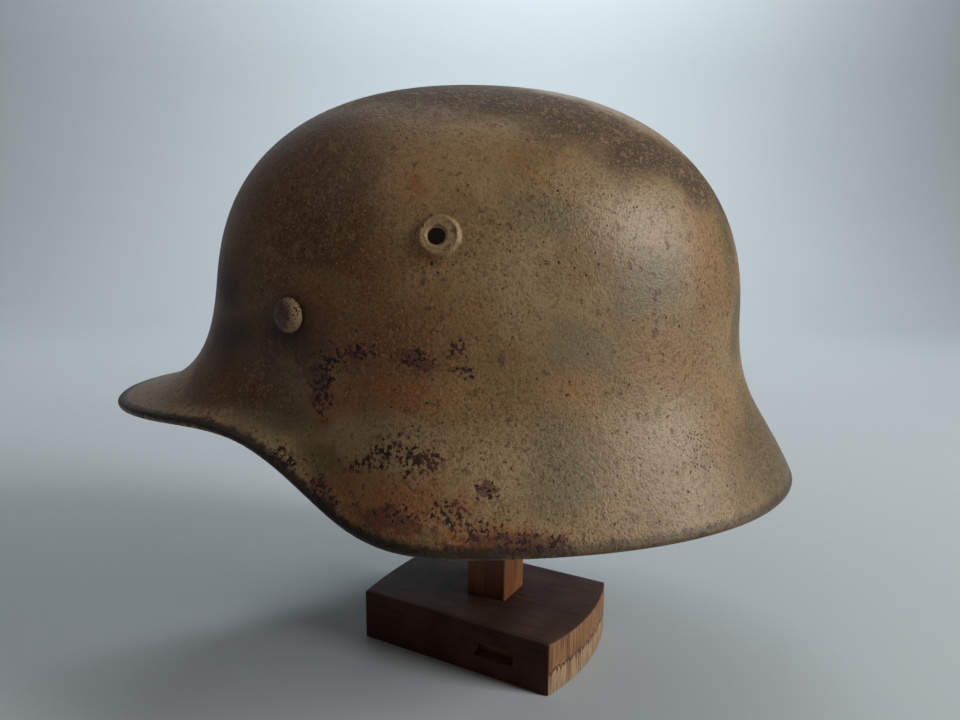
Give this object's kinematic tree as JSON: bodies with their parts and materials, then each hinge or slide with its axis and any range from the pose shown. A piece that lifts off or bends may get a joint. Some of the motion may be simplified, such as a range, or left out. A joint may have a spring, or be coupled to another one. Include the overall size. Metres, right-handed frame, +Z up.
{
  "type": "steel combat helmet on a wooden stand",
  "caption": "Domed pressed steel helmet shell with visor, flared neck apron, rolled rim, side vents and domed liner rivets, on a square post and bow-ended wooden block.",
  "frame": {"origin": "on the surface the stand rests on, under the middle of the post", "axes": "+Z up, -Y towards the visor, +X towards the wearer's left"},
  "size_m": [0.232, 0.2801, 0.2392],
  "materials": {
    "painted_steel": "textured matt sand and olive-brown paint, worn and rusted",
    "rivet_steel": "the same paint, pitted, with rust round its edge",
    "stained_wood": "dark satin stain, bare end grain",
    "oak": "bare oak, sawn"
  },
  "bodies": {
    "root": {"helmet_shell": "painted_steel", "rivet_front_left": "rivet_steel", "rivet_front_right": "rivet_steel", "rivet_rear": "rivet_steel", "stand_base": "stained_wood", "stand_post": "oak"}
  },
  "joints": []
}
